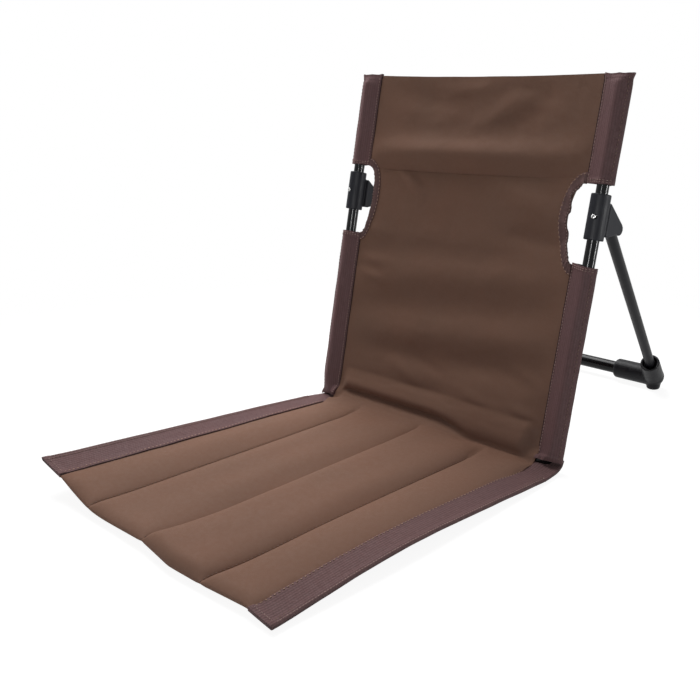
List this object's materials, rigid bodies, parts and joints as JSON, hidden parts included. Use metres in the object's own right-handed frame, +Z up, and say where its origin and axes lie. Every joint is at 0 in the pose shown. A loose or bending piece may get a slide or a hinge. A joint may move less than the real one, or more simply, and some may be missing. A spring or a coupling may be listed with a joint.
{
  "type": "folding ground chair",
  "caption": "Folding camping chair without legs: quilted seat pad on the ground, fabric back on a bent tube frame, and a rear stand that swings out of moulded brackets to prop the back.",
  "frame": {"origin": "middle of the seat's underside, on the floor", "axes": "+Z up, the sitter faces -Y, +X to the right of someone who looks at the chair from the front"},
  "size_m": [0.44, 0.8217, 0.4653],
  "materials": {
    "black_tube": "gloss black paint on steel tube",
    "dark_tube": "matte dark grey paint on steel tube",
    "black_plastic": "satin black moulding",
    "bright_steel": "bright zinc",
    "webbing": "ribbed mauve-brown webbing",
    "back_fabric": "plain-woven brown cloth",
    "seat_fabric": "plain-woven brown cloth, quilted",
    "foam": "pale wadding, hidden"
  },
  "bodies": {
    "back": {"back_frame_tube": "black_tube", "back_panel": "back_fabric", "bottom_bar_sleeve": "back_fabric", "left_bracket": "black_plastic", "left_bracket_rivet": "bright_steel", "left_lower_sleeve": "webbing", "left_notch_binding": "webbing", "left_pivot_pin": "bright_steel", "left_upper_sleeve": "webbing", "left_upright_plug": "black_plastic", "right_bracket": "black_plastic", "right_bracket_rivet": "bright_steel", "right_lower_sleeve": "webbing", "right_notch_binding": "webbing", "right_pivot_pin": "bright_steel", "right_upper_sleeve": "webbing", "right_upright_plug": "black_plastic"},
    "stand": {"left_leg": "dark_tube", "right_leg": "dark_tube", "left_leg_plug": "black_plastic", "right_leg_plug": "black_plastic", "left_foot": "black_plastic", "right_foot": "black_plastic", "rear_cross_tube": "black_tube"},
    "seat": {"seat_top_cover": "seat_fabric", "seat_bottom_cover": "seat_fabric", "left_outer_foam": "foam", "left_inner_foam": "foam", "right_inner_foam": "foam", "right_outer_foam": "foam", "left_seat_webbing": "webbing", "right_seat_webbing": "webbing"}
  },
  "joints": [
    {"name": "stand_fold", "type": "hinge", "parent": "back", "child": "stand", "pos_m": [0, 0.32419, 0.29206], "axis": [-1, 0, 0], "range_deg": [0, 56.8]},
    {"name": "seat_fold", "type": "hinge", "parent": "back", "child": "seat", "pos_m": [0, 0.222, 0.0125], "axis": [-1, 0, 0], "range_deg": [0, 98]}
  ]
}
